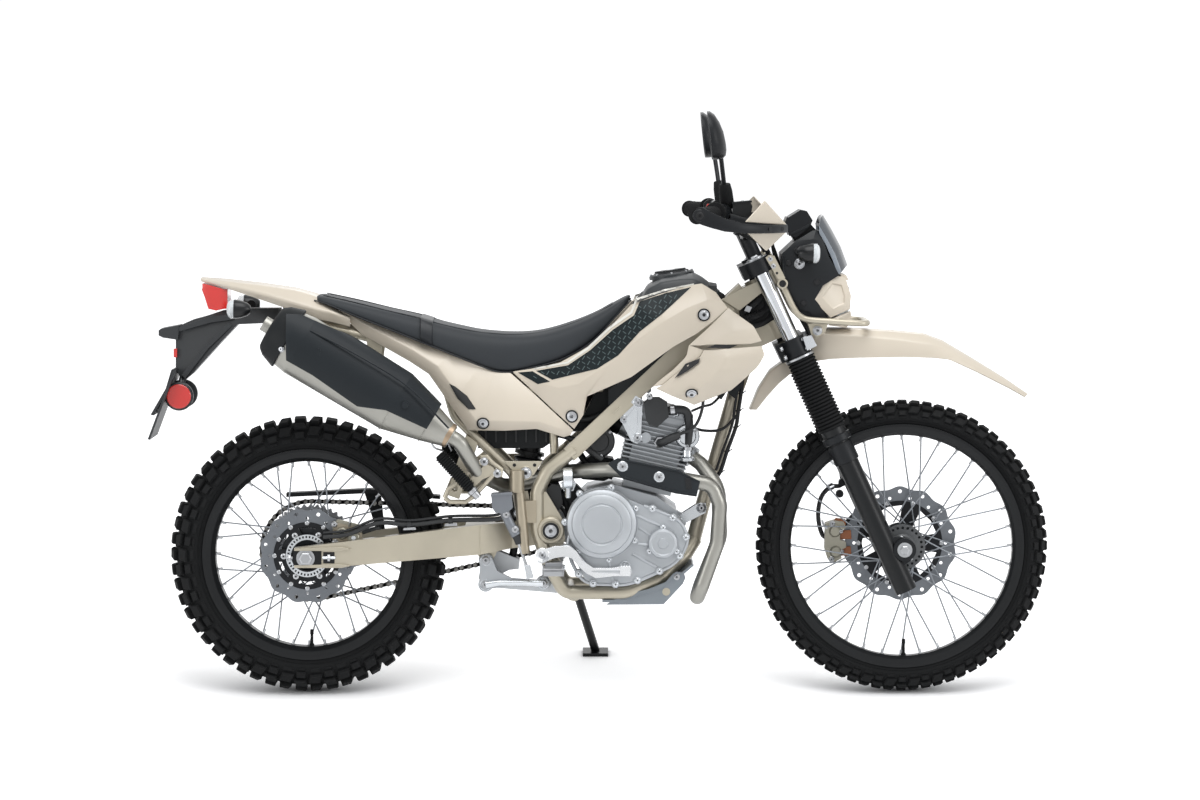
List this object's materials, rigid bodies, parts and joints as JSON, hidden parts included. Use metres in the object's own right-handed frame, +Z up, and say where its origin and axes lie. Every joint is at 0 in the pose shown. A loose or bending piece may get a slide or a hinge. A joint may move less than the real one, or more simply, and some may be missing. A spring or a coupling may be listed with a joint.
{
  "type": "dual sport motorcycle",
  "caption": "Light dual sport motorcycle with wire wheels, knobbly tyres, long fork with gaiters and high exhaust, leaning on its side stand.",
  "frame": {"origin": "on the floor under the middle of the overall box, machine parked on its side stand", "axes": "+X forward, +Y to the rider's left, +Z up; the machine leans 10 degrees to +Y about the line of its wheels"},
  "size_m": [2.0632, 0.8428, 1.3738],
  "materials": {
    "frame_paint": "satin champagne paint",
    "panel_plastic": "moulded in colour, satin gloss",
    "black_plastic": "fine grained",
    "black_metal": "satin black",
    "shield": "dark blue-grey satin",
    "exhaust_steel": "satin, slightly browned",
    "alloy": "blasted and clear coated",
    "fork_chrome": "hard chrome",
    "steel": "plated",
    "disc_steel": "ground",
    "seat_cover": "grained vinyl",
    "tyre": "knobbly",
    "rubber": "ribbed",
    "red_lens": "moulded lens",
    "signal": "black pod, clear lens",
    "lens": "clear",
    "smoke": "smoked",
    "caliper": "anodised"
  },
  "bodies": {
    "chassis": {"main_frame": "frame_paint", "subframe": "frame_paint", "swingarm": "frame_paint", "axles": "steel", "shock_absorber": "black_metal", "suspension_linkage": "alloy", "crankcase": "alloy", "cylinder": "alloy", "engine_hangers": "alloy", "intake": "black_plastic", "exhaust_pipe": "exhaust_steel", "muffler": "exhaust_steel", "exhaust_shields": "shield", "fuel_tank": "black_plastic", "tank_covers": "panel_plastic", "shrouds": "panel_plastic", "side_panels": "panel_plastic", "seat": "seat_cover", "tail_fender": "panel_plastic", "rear_carrier": "black_plastic", "tail_lamp": "red_lens", "rear_signals": "signal", "chain": "steel", "chain_guard": "black_plastic", "skid_plate": "alloy", "foot_controls": "alloy", "foot_pegs": "steel", "rear_brake": "caliper"},
    "steering": {"triple_clamps": "frame_paint", "fork_tubes": "fork_chrome", "fork_boots": "rubber", "fork_lowers": "black_metal", "front_fender": "panel_plastic", "headlight_cowl": "black_plastic", "lamp_surround": "panel_plastic", "headlight": "lens", "windscreen": "smoke", "lamp_guard": "frame_paint", "handlebar": "black_metal", "grips": "rubber", "hand_guards": "panel_plastic", "mirrors": "black_plastic", "front_signals": "signal", "front_caliper": "caliper"},
    "front_wheel": {"front_tyre": "tyre", "front_rim": "black_metal", "front_hub": "steel", "front_disc": "disc_steel"},
    "rear_wheel": {"rear_tyre": "tyre", "rear_rim": "black_metal", "rear_hub": "steel", "rear_disc": "disc_steel", "rear_sprocket": "steel"},
    "side_stand": {"side_stand": "black_metal"}
  },
  "joints": [
    {"name": "steering", "type": "hinge", "parent": "chassis", "child": "steering", "pos_m": [0.38545, -0.03681, 0.87441], "axis": [-0.4163, 0.1579, 0.8954], "range_deg": [-45, 45]},
    {"name": "front_wheel_spin", "type": "hinge", "parent": "steering", "child": "front_wheel", "pos_m": [0.69555, -0.13232, 0.33276], "axis": [0, 0.9848, -0.1736], "continuous": true},
    {"name": "rear_wheel_spin", "type": "hinge", "parent": "chassis", "child": "rear_wheel", "pos_m": [-0.66955, -0.13562, 0.31405], "axis": [0, 0.9848, -0.1736], "continuous": true},
    {"name": "side_stand_fold", "type": "hinge", "parent": "chassis", "child": "side_stand", "pos_m": [-0.05755, -0.00851, 0.19416], "axis": [0.1675, 0.8222, 0.544], "range_deg": [0, 100]}
  ]
}
